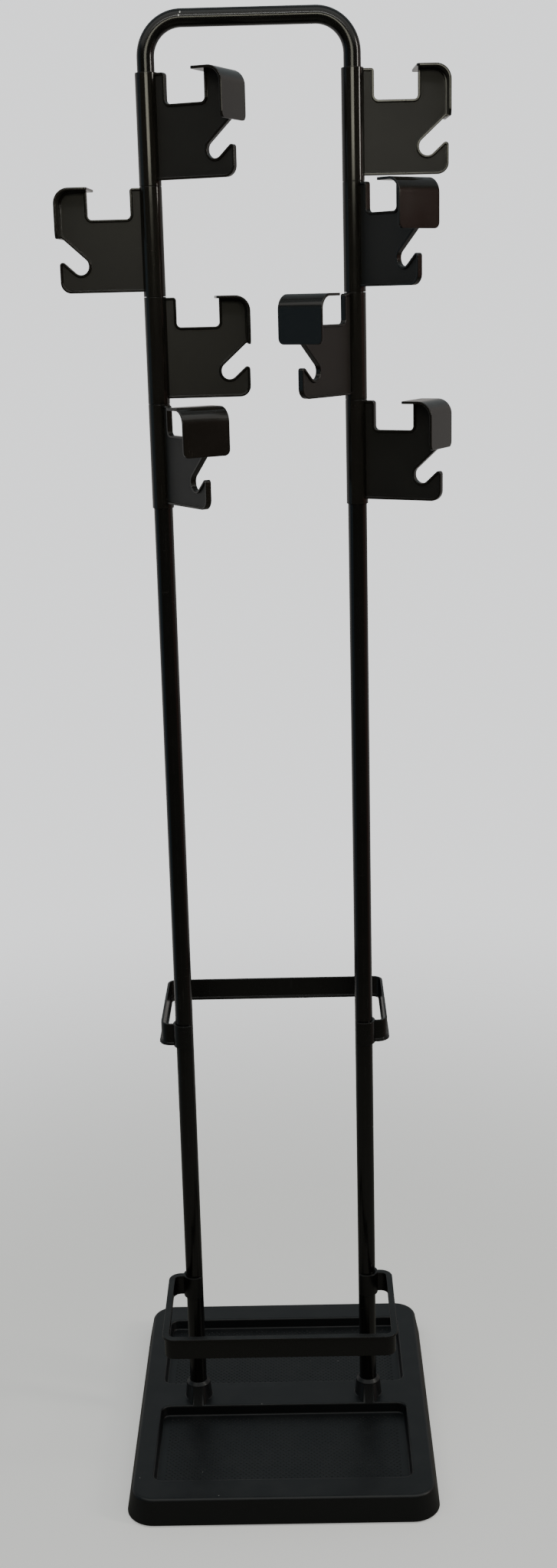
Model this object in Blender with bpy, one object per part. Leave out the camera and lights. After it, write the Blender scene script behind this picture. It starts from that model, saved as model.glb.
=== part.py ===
"""Free-standing coat rack: two steel poles on a weighted tray base, joined at the top by a bent tube.

Moulded hooks are stacked on the legs of the bent tube and turn on them. Two umbrella rings clip to the
poles and slide along them. Units are metres, +Z is up, +Y points to the rear, and the origin is the middle
of the base on the floor.
"""

import math

import bmesh
import bpy
from mathutils import Vector

for leftover in list(bpy.data.objects):
    bpy.data.objects.remove(leftover)

# Clearances
FIT_GAP = 0.0003
CUT_PAST = 0.002

# Hooks: a sleeve, a flat web with a raised rim, and a wide bent flap that carries a hanger
HOOKS_PER_POLE = 4
SLEEVE_WALL = 0.0025
WEB_THICKNESS = 0.003
WEB_TOP_DROP = 0.001
WEB_LIFT = 0.0057
RIM_WIDTH = 0.0026
RIM_THICKNESS = 0.007
RIM_INNER_ROUND = 0.0007
POST_WIDTH = 0.0111
NOTCH_WIDTH = 0.0486
NOTCH_DEPTH = 0.034
NOTCH_CORNER = 0.005
ARM_WIDTH = 0.0338
FLAP_THICKNESS = 0.003
FLAP_WIDTH = 0.060
FLAP_HEIGHT = 0.054
FLAP_BEND = 0.017
FLAP_LIP = 0.004
FLAP_CORNER = 0.007
FLAP_LIP_CORNER = 0.004
FLAP_COVER = 0.003
SLOT_SLOPE = math.radians(42)
SLOT_REACH = 0.0329
SLOT_RADIUS = 0.0092
SLOT_SHOULDER = 0.0092
SLOT_STRAIGHT = 0.0006
SLOT_FLOOR = 0.0198
HEEL_RADIUS = 0.012
SWING_CLEARANCE = 0.0062
LEFT_HOOK_ANGLES = (-24, 178, 5, -57)
RIGHT_HOOK_ANGLES = (2, -50, -127, -27)

# Poles and the bent tube that joins them
POLE_DIAMETER = 0.022
POLE_WALL = 0.001
POLE_LENGTH = 1.208
BOW_WALL = 0.001
BOW_BEND = 0.040
BOW_NECK = 0.015
SPIGOT_LENGTH = 0.060

# Umbrella rings
RING_HEIGHT = 0.028
RING_THICKNESS = 0.003
RING_BEAD_WIDTH = 0.008
RING_BEAD_HEIGHT = 0.003
RING_OVERHANG = 0.0302
RING_REACH = 0.1505
RING_CORNER = 0.0115
CLIP_WALL = 0.003
CLIP_HEIGHT = 0.030
CLIP_MOUTH = math.radians(100)
UPPER_RING_LEVEL = 0.556
LOWER_RING_LEVEL = 0.201

# Base shell
BASE_LENGTH = 0.388
BASE_DEPTH = 0.450
BASE_HEIGHT = 0.035
BASE_CORNER = 0.035
BASE_FLARE = 0.0055
BASE_EDGE = 0.005
BASE_WALL = 0.003
RIM_LIFT = 0.002
BRIDGE_WIDTH = 0.047
TRAY_SIDE_MARGIN = 0.0245
TRAY_END_MARGIN = 0.0365
TRAY_DEPTH = 0.014
TRAY_CORNER = 0.014
TRAY_EDGE = 0.003
TRAY_DRAFT = 0.001
BOSS_WALL = 0.0064
BOSS_HEIGHT = 0.025
BOSS_TAPER = 0.0004
BOSS_EDGE = 0.003
NOSE_WIDTH = 0.018
NOSE_RISE = 0.020
NOSE_PROUD = 0.0005
SOCKET_WALL = 0.003
SCREW_POST_DIAMETER = 0.012

# Ballast plate, feet and fasteners
PLATE_THICKNESS = 0.004
PLATE_MARGIN = 0.006
PLATE_CORNER = 0.025
FOOT_HEIGHT = 0.006
FOOT_DIAMETER = 0.028
FOOT_TAPER = 0.001
FOOT_INSET = 0.014
SCREW_DIAMETER = 0.0044
SCREW_BITE = 0.014
SCREW_HEAD_DIAMETER = 0.010
SCREW_HEAD_HEIGHT = 0.0026
SCREW_RECESS = 0.0006
PLUG_HEIGHT = 0.030
BOLT_DIAMETER = 0.008
BOLT_BITE = 0.022
BOLT_HEAD_WIDTH = 0.013
BOLT_HEAD_HEIGHT = 0.0045

# Smoothness of the round shapes
TUBE_SIDES = 24
SMALL_SIDES = 16
HEXAGON_SIDES = 6
CORNER_STEPS = 4
BEND_STEPS = 8
EDGE_STEPS = 3
SHARP_ANGLE = math.radians(30)

# Sizes worked out from the values above
POLE_RADIUS = POLE_DIAMETER / 2
BOW_RADIUS = POLE_RADIUS - POLE_WALL - FIT_GAP
BORE_RADIUS = BOW_RADIUS + FIT_GAP
SLEEVE_RADIUS = BORE_RADIUS + SLEEVE_WALL
POST_EDGE = SLEEVE_RADIUS + POST_WIDTH
ARM_EDGE = POST_EDGE + NOTCH_WIDTH
HOOK_REACH = ARM_EDGE + ARM_WIDTH
RIM_CORNER = RIM_WIDTH + RIM_INNER_ROUND
FLAP_CENTRE = HOOK_REACH - FLAP_THICKNESS / 2
SLOT_BACK = HOOK_REACH - SLOT_REACH
SLOPE_START = FLAP_HEIGHT - FLAP_COVER
SHOULDER_DEPTH = SLOPE_START + (FLAP_CENTRE - SLOT_BACK) * math.tan(SLOT_SLOPE)
HALF_TURN = (math.pi / 2 - SLOT_SLOPE) / 2
SLOT_CENTRE_DEPTH = SHOULDER_DEPTH + SLOT_SHOULDER * math.tan(HALF_TURN) + SLOT_STRAIGHT
SLOT_CORNER_DEPTH = SLOT_CENTRE_DEPTH + SLOT_RADIUS / math.tan(HALF_TURN)
TIP_DEPTH = SLOT_CORNER_DEPTH - SLOT_REACH * math.tan(SLOT_SLOPE)
WEB_BOTTOM_DEPTH = SLOT_CENTRE_DEPTH + SLOT_RADIUS + SLOT_FLOOR
HOOK_LENGTH = WEB_BOTTOM_DEPTH + WEB_LIFT
HOOK_SWING = math.hypot(HOOK_REACH, FLAP_WIDTH / 2)
POLE_X = HOOK_SWING + SWING_CLEARANCE / 2

PLATE_BOTTOM = FOOT_HEIGHT + FIT_GAP
PLATE_TOP = PLATE_BOTTOM + PLATE_THICKNESS
POLE_BOTTOM = PLATE_TOP + FIT_GAP
POLE_TOP = POLE_BOTTOM + POLE_LENGTH
HOOK_PITCH = HOOK_LENGTH + FIT_GAP
STACK_BOTTOM = POLE_TOP + FIT_GAP
STACK_TOP = STACK_BOTTOM + HOOKS_PER_POLE * HOOK_PITCH
BOW_LEVEL = STACK_TOP + BOW_NECK + BOW_BEND

DECK_HALF_LENGTH = BASE_LENGTH / 2 - BASE_FLARE
DECK_HALF_DEPTH = BASE_DEPTH / 2 - BASE_FLARE
TRAY_HALF_LENGTH = DECK_HALF_LENGTH - TRAY_SIDE_MARGIN
TRAY_NEAR = BRIDGE_WIDTH / 2
TRAY_FAR = DECK_HALF_DEPTH - TRAY_END_MARGIN
SOCKET_BORE = POLE_RADIUS + FIT_GAP
BOSS_RADIUS = SOCKET_BORE + BOSS_WALL
SCREW_HOLE = SCREW_DIAMETER / 2 + FIT_GAP
BOLT_HOLE = BOLT_DIAMETER / 2 + FIT_GAP
FOOT_X = TRAY_HALF_LENGTH - FOOT_INSET
FOOT_Y = DECK_HALF_DEPTH - TRAY_END_MARGIN / 2
FOOT_SPOTS = {
    "front_left": (-FOOT_X, -FOOT_Y),
    "front_right": (FOOT_X, -FOOT_Y),
    "rear_left": (-FOOT_X, FOOT_Y),
    "rear_right": (FOOT_X, FOOT_Y),
}


# Outlines and meshes

def rounded_outline(corners, steps=CORNER_STEPS):
    """Points through the corners of a closed outline, each (x, y, radius), with arcs at the round ones."""
    points = []
    for index, (x, y, radius) in enumerate(corners):
        corner = Vector((x, y))
        if radius == 0:
            points.append(corner)
            continue
        before = (Vector(corners[index - 1][:2]) - corner).normalized()
        after = (Vector(corners[(index + 1) % len(corners)][:2]) - corner).normalized()
        half = before.angle(after) / 2
        centre = corner + (before + after).normalized() * radius / math.sin(half)
        start = corner + before * radius / math.tan(half) - centre
        end = corner + after * radius / math.tan(half) - centre
        first = math.atan2(start.y, start.x)
        turn = math.remainder(math.atan2(end.y, end.x) - first, math.tau)
        for step in range(steps + 1):
            angle = first + turn * step / steps
            points.append(centre + radius * Vector((math.cos(angle), math.sin(angle))))
    return points


def rounded_rectangle(low, high, radius):
    corners = [(high[0], low[1]), (high[0], high[1]), (low[0], high[1]), (low[0], low[1])]
    return rounded_outline([(x, y, radius) for x, y in corners])


def side_steps(path, closed=False):
    """The sideways step at each point of a path that keeps a line one unit to its left."""
    steps = []
    last = len(path) - 1
    for index, point in enumerate(path):
        before = point - path[index - 1] if index > 0 or closed else path[1] - point
        after = path[(index + 1) % len(path)] - point if index < last or closed else before
        left_before = Vector((-before.y, before.x)).normalized()
        left_after = Vector((-after.y, after.x)).normalized()
        steps.append((left_before + left_after) / (1 + left_before.dot(left_after)))
    return steps


def circle(radius, sides, z, centre=(0, 0)):
    angles = [math.tau * side / sides for side in range(sides)]
    return [Vector((centre[0] + radius * math.cos(a), centre[1] + radius * math.sin(a), z)) for a in angles]


def level(outline, z):
    return [Vector((point.x, point.y, z)) for point in outline]


def upright(outline, y):
    return [Vector((point.x, y, point.y)) for point in outline]


def loft(loops, ring=False):
    """A solid skinned over loops of equally many points, capped at both ends or closed into a ring."""
    shape = bmesh.new()
    rows = [[shape.verts.new(point) for point in loop] for loop in loops]
    pairs = list(zip(rows, rows[1:]))
    if ring:
        pairs.append((rows[-1], rows[0]))
    else:
        shape.faces.new(rows[0])
        shape.faces.new(rows[-1])
    for low, high in pairs:
        for index in range(len(low)):
            beside = (index + 1) % len(low)
            shape.faces.new((low[index], low[beside], high[beside], high[index]))
    bmesh.ops.recalc_face_normals(shape, faces=shape.faces)
    mesh = bpy.data.meshes.new("solid")
    shape.to_mesh(mesh)
    shape.free()
    return mesh


def turned(profile, sides, ring=False, centre=(0, 0)):
    """A round solid from (radius, z) points, along its axis or, as a ring, round its section."""
    return loft([circle(radius, sides, z, centre) for radius, z in profile], ring)


def cylinder(radius, bottom, top, sides=TUBE_SIDES, centre=(0, 0)):
    return turned([(radius, bottom), (radius, top)], sides, centre=centre)


def tube(outer, inner, bottom, top, sides=TUBE_SIDES):
    return turned([(outer, bottom), (outer, top), (inner, top), (inner, bottom)], sides, ring=True)


def combine(mesh, operation, tools):
    """The mesh with the tool meshes joined to it or cut from it."""
    body = bpy.data.objects.new("body", mesh)
    helpers = [body]
    bpy.context.scene.collection.objects.link(body)
    for tool in tools:
        helper = bpy.data.objects.new("tool", tool)
        bpy.context.scene.collection.objects.link(helper)
        helpers.append(helper)
        modifier = body.modifiers.new(operation.lower(), "BOOLEAN")
        modifier.operation = operation
        modifier.object = helper
    graph = bpy.context.evaluated_depsgraph_get()
    result = bpy.data.meshes.new_from_object(body.evaluated_get(graph))
    for helper in helpers:
        bpy.data.objects.remove(helper)
    return result


# Finishes and placing

def finish(name, colour, roughness, metallic=0.0):
    material = bpy.data.materials.new(name)
    material.use_nodes = True
    shader = material.node_tree.nodes["Principled BSDF"]
    shader.inputs["Base Color"].default_value = (*colour, 1.0)
    shader.inputs["Roughness"].default_value = roughness
    shader.inputs["Metallic"].default_value = metallic
    return material


def place(name, mesh, material, location=(0, 0, 0), rotation=(0, 0, 0)):
    """Adds a named sub-part under the rack's own empty."""
    part = bpy.data.objects.new(name, mesh)
    part.location = location
    part.rotation_euler = rotation
    part.parent = bpy.data.objects["coat_rack"]
    bpy.context.scene.collection.objects.link(part)
    mesh.materials.clear()
    mesh.materials.append(material)
    mesh.shade_smooth()
    mesh.set_sharp_from_angle(angle=SHARP_ANGLE)
    return part


# Hooks

def hook_web():
    """The flat web in the plane of the hook, with a rim raised on both sides all round its edge."""
    depths = [
        (0, WEB_TOP_DROP, 0),
        (POST_EDGE, WEB_TOP_DROP, RIM_CORNER),
        (POST_EDGE, NOTCH_DEPTH, NOTCH_CORNER),
        (ARM_EDGE, NOTCH_DEPTH, NOTCH_CORNER),
        (ARM_EDGE, FLAP_THICKNESS / 2, 0),
        (FLAP_CENTRE, FLAP_THICKNESS / 2, FLAP_BEND - FLAP_THICKNESS / 2),
        (FLAP_CENTRE, SLOPE_START, 0),
        (SLOT_BACK, SHOULDER_DEPTH, SLOT_SHOULDER),
        (SLOT_BACK, SLOT_CORNER_DEPTH, SLOT_RADIUS),
        (HOOK_REACH, TIP_DEPTH, RIM_CORNER),
        (HOOK_REACH, WEB_BOTTOM_DEPTH, HEEL_RADIUS),
        (0, WEB_BOTTOM_DEPTH, 0),
    ]
    edge = rounded_outline([(reach, HOOK_LENGTH - depth, radius) for reach, depth, radius in depths])
    inside = [point - step * RIM_WIDTH for point, step in zip(edge, side_steps(edge, closed=True))]
    return loft(
        [
            upright(inside, -WEB_THICKNESS / 2),
            upright(inside, -RIM_THICKNESS / 2),
            upright(edge, -RIM_THICKNESS / 2),
            upright(edge, RIM_THICKNESS / 2),
            upright(inside, RIM_THICKNESS / 2),
            upright(inside, WEB_THICKNESS / 2),
        ]
    )


def hook_flap():
    """The bent strip over the end of the hook: a lip over the notch, a bend, and a broad outer face."""
    top = HOOK_LENGTH - FLAP_THICKNESS / 2
    tip = Vector((ARM_EDGE - FLAP_LIP, top))
    foot = Vector((FLAP_CENTRE, HOOK_LENGTH - FLAP_HEIGHT))
    bend = FLAP_BEND - FLAP_THICKNESS / 2
    turns = [math.pi / 2 * step / CORNER_STEPS for step in range(CORNER_STEPS + 1)]
    lip = [tip + Vector((FLAP_LIP_CORNER * (1 - math.cos(turn)), 0)) for turn in turns]
    lip_halves = [FLAP_WIDTH / 2 - FLAP_LIP_CORNER * (1 - math.sin(turn)) for turn in turns]
    outer = [foot + Vector((0, FLAP_CORNER * (1 - math.cos(turn)))) for turn in reversed(turns)]
    outer_halves = [FLAP_WIDTH / 2 - FLAP_CORNER * (1 - math.sin(turn)) for turn in reversed(turns)]
    centre = Vector((FLAP_CENTRE - bend, top - bend))
    arc = [centre + bend * Vector((math.sin(turn), math.cos(turn))) for turn in turns]
    path = lip + arc + outer
    halves = lip_halves + [FLAP_WIDTH / 2] * len(arc) + outer_halves
    loops = []
    for point, step, half in zip(path, side_steps(path), halves):
        above = point + step * FLAP_THICKNESS / 2
        below = point - step * FLAP_THICKNESS / 2
        corners = [(above, -half), (above, half), (below, half), (below, -half)]
        loops.append([Vector((flat.x, across, flat.y)) for flat, across in corners])
    return loft(loops)


def hook_mesh():
    solid = combine(hook_web(), "UNION", [cylinder(SLEEVE_RADIUS, 0, HOOK_LENGTH), hook_flap()])
    return combine(solid, "DIFFERENCE", [cylinder(BORE_RADIUS, -CUT_PAST, HOOK_LENGTH + CUT_PAST)])


def add_hooks(material):
    """Hooks are numbered from the top. Each turns on the leg of the bow that runs through its sleeve."""
    mesh = hook_mesh()
    for side, x, angles in (("left", -POLE_X, LEFT_HOOK_ANGLES), ("right", POLE_X, RIGHT_HOOK_ANGLES)):
        for number, angle in enumerate(angles, start=1):
            bottom = STACK_TOP - number * HOOK_PITCH
            place(f"hook_{side}_{number}", mesh, material, (x, 0, bottom), (0, 0, math.radians(angle)))


# Poles and bow

def add_poles(material):
    mesh = tube(POLE_RADIUS, POLE_RADIUS - POLE_WALL, 0, POLE_LENGTH)
    for side, x in (("left", -POLE_X), ("right", POLE_X)):
        place(f"{side}_pole", mesh, material, (x, 0, POLE_BOTTOM))


def add_bow(material):
    """One bent tube: its two legs carry the hooks and plug into the tops of the poles."""
    leg_end = STACK_BOTTOM - SPIGOT_LENGTH
    corners = [
        (-POLE_X, leg_end, 0),
        (-POLE_X, BOW_LEVEL, BOW_BEND),
        (POLE_X, BOW_LEVEL, BOW_BEND),
        (POLE_X, leg_end, 0),
    ]
    path = rounded_outline(corners, BEND_STEPS)
    skins = []
    for radius in (BOW_RADIUS, BOW_RADIUS - BOW_WALL):
        section = circle(radius, TUBE_SIDES, 0)
        skin = []
        for point, step in zip(path, side_steps(path)):
            skin.append([Vector((point.x + step.x * s.x, s.y, point.y + step.y * s.x)) for s in section])
        skins.append(skin)
    place("top_bow", loft(skins[0] + skins[1][::-1], ring=True), material)


# Umbrella rings

def ring_clip(side):
    """A snap clip round one pole, open towards the other pole."""
    inner = POLE_RADIUS + FIT_GAP
    outer = inner + CLIP_WALL
    first = math.pi + CLIP_MOUTH / 2
    sweep = math.tau - CLIP_MOUTH
    turns = [first + sweep * step / TUBE_SIDES for step in range(TUBE_SIDES + 1)]
    round_outside = [(outer * math.cos(turn), outer * math.sin(turn)) for turn in turns]
    round_inside = [(inner * math.cos(turn), inner * math.sin(turn)) for turn in reversed(turns)]
    outline = [Vector((side * (POLE_X + x), y)) for x, y in round_outside + round_inside]
    return loft([level(outline, -CLIP_HEIGHT / 2), level(outline, CLIP_HEIGHT / 2)])


def ring_mesh():
    """A band bent round three sides, with a bead along its lower edge, between two pole clips."""
    arm_x = POLE_X + RING_OVERHANG - RING_THICKNESS / 2
    join_x = POLE_X + POLE_RADIUS + FIT_GAP + CLIP_WALL / 2
    corner = min(RING_CORNER, arm_x - join_x - CLIP_WALL)
    path = rounded_outline(
        [
            (join_x, 0, 0),
            (arm_x, 0, corner),
            (arm_x, RING_REACH, RING_CORNER),
            (-arm_x, RING_REACH, RING_CORNER),
            (-arm_x, 0, corner),
            (-join_x, 0, 0),
        ]
    )
    low = -RING_HEIGHT / 2
    section = [
        (-RING_BEAD_WIDTH / 2, low),
        (RING_BEAD_WIDTH / 2, low),
        (RING_BEAD_WIDTH / 2, low + RING_BEAD_HEIGHT),
        (RING_THICKNESS / 2, low + RING_BEAD_HEIGHT),
        (RING_THICKNESS / 2, -low),
        (-RING_THICKNESS / 2, -low),
        (-RING_THICKNESS / 2, low + RING_BEAD_HEIGHT),
        (-RING_BEAD_WIDTH / 2, low + RING_BEAD_HEIGHT),
    ]
    loops = []
    for point, step in zip(path, side_steps(path)):
        loops.append([(point.x + step.x * across, point.y + step.y * across, z) for across, z in section])
    return combine(loft(loops), "UNION", [ring_clip(1), ring_clip(-1)])


def add_rings(material):
    """The upper ring reaches to the rear. The lower one is the same moulding, turned over to the front."""
    mesh = ring_mesh()
    place("upper_umbrella_ring", mesh, material, (0, 0, UPPER_RING_LEVEL))
    place("lower_umbrella_ring", mesh, material, (0, 0, LOWER_RING_LEVEL), (math.pi, 0, 0))


# Base

def base_outline(inset):
    half_length = BASE_LENGTH / 2 - inset
    half_depth = BASE_DEPTH / 2 - inset
    return rounded_rectangle((-half_length, -half_depth), (half_length, half_depth), BASE_CORNER - inset)


def tray_outline(side, inset):
    """The outline of the front tray, side -1, or the rear one, side 1, drawn in by the inset."""
    ends = sorted((side * (TRAY_NEAR + inset), side * (TRAY_FAR - inset)))
    half_length = TRAY_HALF_LENGTH - inset
    return rounded_rectangle((-half_length, ends[0]), (half_length, ends[1]), TRAY_CORNER - inset)


def quarter_turns():
    return [math.pi / 2 * step / EDGE_STEPS for step in range(EDGE_STEPS + 1)]


def base_block():
    loops = [level(base_outline(0), RIM_LIFT)]
    for turn in quarter_turns():
        inset = BASE_FLARE + BASE_EDGE * (1 - math.cos(turn))
        loops.append(level(base_outline(inset), BASE_HEIGHT - BASE_EDGE * (1 - math.sin(turn))))
    return loft(loops)


def tray_cut(side):
    loops = [level(tray_outline(side, TRAY_EDGE + TRAY_DRAFT), BASE_HEIGHT - TRAY_DEPTH)]
    for turn in quarter_turns():
        inset = TRAY_EDGE * math.cos(turn)
        loops.append(level(tray_outline(side, inset), BASE_HEIGHT - TRAY_EDGE * (1 - math.sin(turn))))
    loops.append(level(tray_outline(side, 0), BASE_HEIGHT + CUT_PAST))
    return loft(loops)


def tray_pan(side):
    """The tray's own floor and walls, which the hollow under the shell leaves standing."""
    bottom = BASE_HEIGHT - TRAY_DEPTH - BASE_WALL
    floor = level(tray_outline(side, TRAY_EDGE + TRAY_DRAFT - BASE_WALL), bottom)
    return loft([floor, level(tray_outline(side, TRAY_EDGE - BASE_WALL), BASE_HEIGHT)])


def pole_boss(x):
    """The round socket that stands on the bridge between the trays and holds the foot of a pole."""
    top = BASE_HEIGHT + BOSS_HEIGHT
    profile = [(BOSS_RADIUS, BASE_HEIGHT - BASE_WALL / 2), (BOSS_RADIUS, BASE_HEIGHT)]
    for turn in quarter_turns():
        radius = BOSS_RADIUS - BOSS_TAPER - BOSS_EDGE * (1 - math.cos(turn))
        profile.append((radius, top - BOSS_EDGE * (1 - math.sin(turn))))
    return turned(profile, TUBE_SIDES, centre=(x, 0))


def boss_nose(x, side):
    """The tapered nose that runs from the socket to the edge of a tray and down the tray's wall."""
    half = NOSE_WIDTH / 2
    root = BOSS_RADIUS - BOSS_TAPER - FIT_GAP
    wall = TRAY_NEAR + TRAY_EDGE + NOSE_PROUD
    tangent = math.atan2(half, wall) + math.acos(root / math.hypot(half, wall))
    side_x = root * math.sin(tangent)
    side_y = root * math.cos(tangent)
    reaches = [
        (wall + TRAY_DRAFT, BASE_HEIGHT - TRAY_DEPTH - BASE_WALL / 2),
        (wall, BASE_HEIGHT - TRAY_EDGE),
        (math.sqrt(root**2 - half**2), BASE_HEIGHT + NOSE_RISE),
    ]
    loops = []
    for reach, z in reaches:
        corners = [(-side_x, side_y), (side_x, side_y), (half, reach), (-half, reach)]
        loops.append([Vector((x + across, side * along, z)) for across, along in corners])
    return loft(loops)


def base_hollow():
    """The space under the shell, around the trays, the pole sockets and the screw posts."""
    roof = level(base_outline(BASE_WALL + BASE_FLARE), BASE_HEIGHT - BASE_WALL)
    space = loft([level(base_outline(BASE_WALL), -CUT_PAST), roof])
    kept = [tray_pan(-1), tray_pan(1)]
    for x in (-POLE_X, POLE_X):
        kept.append(cylinder(SOCKET_BORE + SOCKET_WALL, POLE_BOTTOM, BASE_HEIGHT, centre=(x, 0)))
    for spot in FOOT_SPOTS.values():
        kept.append(cylinder(SCREW_POST_DIAMETER / 2, POLE_BOTTOM, BASE_HEIGHT, SMALL_SIDES, spot))
    return combine(space, "DIFFERENCE", kept)


def add_base_shell(material):
    shell = combine(base_block(), "DIFFERENCE", [tray_cut(-1), tray_cut(1)])
    below = POLE_BOTTOM - CUT_PAST
    above = BASE_HEIGHT + BOSS_HEIGHT + CUT_PAST
    bosses = []
    cuts = [base_hollow()]
    for x in (-POLE_X, POLE_X):
        bosses += [pole_boss(x), boss_nose(x, -1), boss_nose(x, 1)]
        cuts.append(cylinder(SOCKET_BORE, below, above, centre=(x, 0)))
    for spot in FOOT_SPOTS.values():
        cuts.append(cylinder(SCREW_HOLE, below, POLE_BOTTOM + SCREW_BITE + FIT_GAP, SMALL_SIDES, spot))
    shell = combine(shell, "UNION", bosses)
    place("base_shell", combine(shell, "DIFFERENCE", cuts), material)


def add_ballast_plate(material):
    """The steel plate under the shell, which weighs the rack down and carries the poles."""
    half_length = BASE_LENGTH / 2 - BASE_WALL - BASE_FLARE - PLATE_MARGIN
    half_depth = BASE_DEPTH / 2 - BASE_WALL - BASE_FLARE - PLATE_MARGIN
    outline = rounded_rectangle((-half_length, -half_depth), (half_length, half_depth), PLATE_CORNER)
    above = PLATE_THICKNESS + CUT_PAST
    holes = [cylinder(BOLT_HOLE, -CUT_PAST, above, SMALL_SIDES, (x, 0)) for x in (-POLE_X, POLE_X)]
    for spot in FOOT_SPOTS.values():
        holes.append(cylinder(SCREW_HOLE, -CUT_PAST, above, SMALL_SIDES, spot))
    plate = loft([level(outline, 0), level(outline, PLATE_THICKNESS)])
    place("ballast_plate", combine(plate, "DIFFERENCE", holes), material, (0, 0, PLATE_BOTTOM))


# Fasteners and feet

def add_pole_fixings(plug_material, bolt_material):
    """A threaded plug in the foot of each pole, and the bolt that pulls it down on the plate from below."""
    plug = tube(POLE_RADIUS - POLE_WALL - FIT_GAP, BOLT_HOLE, 0, PLUG_HEIGHT, TUBE_SIDES)
    shank_top = BOLT_HEAD_HEIGHT + FIT_GAP + PLATE_THICKNESS + FIT_GAP + BOLT_BITE
    head = cylinder(BOLT_HEAD_WIDTH / math.sqrt(3), 0, BOLT_HEAD_HEIGHT, HEXAGON_SIDES)
    shank = cylinder(BOLT_DIAMETER / 2, BOLT_HEAD_HEIGHT / 2, shank_top, SMALL_SIDES)
    bolt = combine(head, "UNION", [shank])
    for side, x in (("left", -POLE_X), ("right", POLE_X)):
        place(f"{side}_pole_plug", plug, plug_material, (x, 0, POLE_BOTTOM))
        place(f"{side}_pole_bolt", bolt, bolt_material, (x, 0, PLATE_BOTTOM - FIT_GAP - BOLT_HEAD_HEIGHT))


def add_feet(foot_material, screw_material):
    """Four rubber feet, each held by a screw through the plate into a post of the shell."""
    recess = SCREW_RECESS + SCREW_HEAD_HEIGHT + FIT_GAP
    foot_radius = FOOT_DIAMETER / 2
    recess_radius = SCREW_HEAD_DIAMETER / 2 + FIT_GAP
    foot = turned(
        [
            (foot_radius - FOOT_TAPER, 0),
            (foot_radius, FOOT_HEIGHT),
            (SCREW_HOLE, FOOT_HEIGHT),
            (SCREW_HOLE, recess),
            (recess_radius, recess),
            (recess_radius, 0),
        ],
        SMALL_SIDES,
        ring=True,
    )
    shank = SCREW_DIAMETER / 2
    shank_top = POLE_BOTTOM + SCREW_BITE
    head = SCREW_HEAD_DIAMETER / 2
    head_top = SCREW_RECESS + SCREW_HEAD_HEIGHT
    profile = [(head, SCREW_RECESS), (head, head_top), (shank, head_top), (shank, shank_top)]
    screw = turned(profile, SMALL_SIDES)
    for corner, (x, y) in FOOT_SPOTS.items():
        place(f"foot_{corner}", foot, foot_material, (x, y, 0))
        place(f"plate_screw_{corner}", screw, screw_material, (x, y, 0))


rack = bpy.data.objects.new("coat_rack", None)
bpy.context.scene.collection.objects.link(rack)

black_enamel = finish("black_enamel", (0.012, 0.012, 0.011), 0.28)
hook_plastic = finish("hook_plastic", (0.020, 0.018, 0.016), 0.32)
ring_plastic = finish("ring_plastic", (0.016, 0.016, 0.016), 0.38)
tray_plastic = finish("tray_plastic", (0.020, 0.022, 0.024), 0.48)
ballast_steel = finish("ballast_steel", (0.10, 0.10, 0.10), 0.55, 0.9)
zinc_steel = finish("zinc_steel", (0.55, 0.55, 0.53), 0.35, 1.0)
black_rubber = finish("black_rubber", (0.015, 0.015, 0.015), 0.85)

add_ballast_plate(ballast_steel)
add_feet(black_rubber, zinc_steel)
add_base_shell(tray_plastic)
add_poles(black_enamel)
add_pole_fixings(zinc_steel, zinc_steel)
add_bow(black_enamel)
add_hooks(hook_plastic)
add_rings(ring_plastic)
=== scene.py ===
import math

import bmesh
import bpy
from mathutils import Matrix, Vector


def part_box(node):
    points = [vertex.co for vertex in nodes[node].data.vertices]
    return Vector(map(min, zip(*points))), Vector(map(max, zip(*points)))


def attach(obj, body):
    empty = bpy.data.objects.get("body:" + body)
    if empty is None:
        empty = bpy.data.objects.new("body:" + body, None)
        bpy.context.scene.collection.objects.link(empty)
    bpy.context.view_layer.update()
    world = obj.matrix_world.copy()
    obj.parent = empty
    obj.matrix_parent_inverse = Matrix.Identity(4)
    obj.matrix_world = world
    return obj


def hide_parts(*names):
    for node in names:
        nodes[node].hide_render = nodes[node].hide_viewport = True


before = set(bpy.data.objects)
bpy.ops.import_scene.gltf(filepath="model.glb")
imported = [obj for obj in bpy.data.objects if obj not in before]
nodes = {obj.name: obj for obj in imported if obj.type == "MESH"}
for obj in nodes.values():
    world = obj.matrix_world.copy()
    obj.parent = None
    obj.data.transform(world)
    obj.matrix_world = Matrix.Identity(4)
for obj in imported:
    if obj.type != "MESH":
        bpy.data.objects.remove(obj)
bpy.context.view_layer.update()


# Ballast plate
# A sheet of hot-rolled steel lies under the base shell, weighs the rack down and carries both poles.
# It is cut and drilled flat and left bare, so it keeps its blue-grey mill scale and some rust.

PIECE_SHIFT = (3.1, 1.7, 2.3)
OPAQUE = 1.0
NOISE_ROUGHNESS = 0.5
TONE_DETAIL = 5.0
TONE_ROUGHNESS = 0.6
TONE_MIDDLE = 0.5
SCRATCHES = (((1.0, 1.0, 0.05), 0.0), ((0.06, 1.0, 1.0), 0.4), ((1.0, 0.06, 1.0), -0.3))
SCRATCH_DETAIL = 2.0
SCRATCH_RANGE = (0.66, 0.74)
SCRATCH_PATCH_SCALE = 16.0
SCRATCH_PATCH_DETAIL = 3.0
SCRATCH_PATCH_START = 0.75
SCRATCH_PATCH_BLEND = 0.2
UPWARD_RANGE = (0.35, 0.95)
FILM_SCALE = 28.0
FILM_DETAIL = 6.0
FILM_RANGE = (0.35, 0.75)
SPECK_SCALE = 260.0
SPECK_RANGE = (0.12, 0.22)
WORN_RANGE = (0.52, 0.62)
WORN_BREAK_SCALE = 90.0
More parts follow.
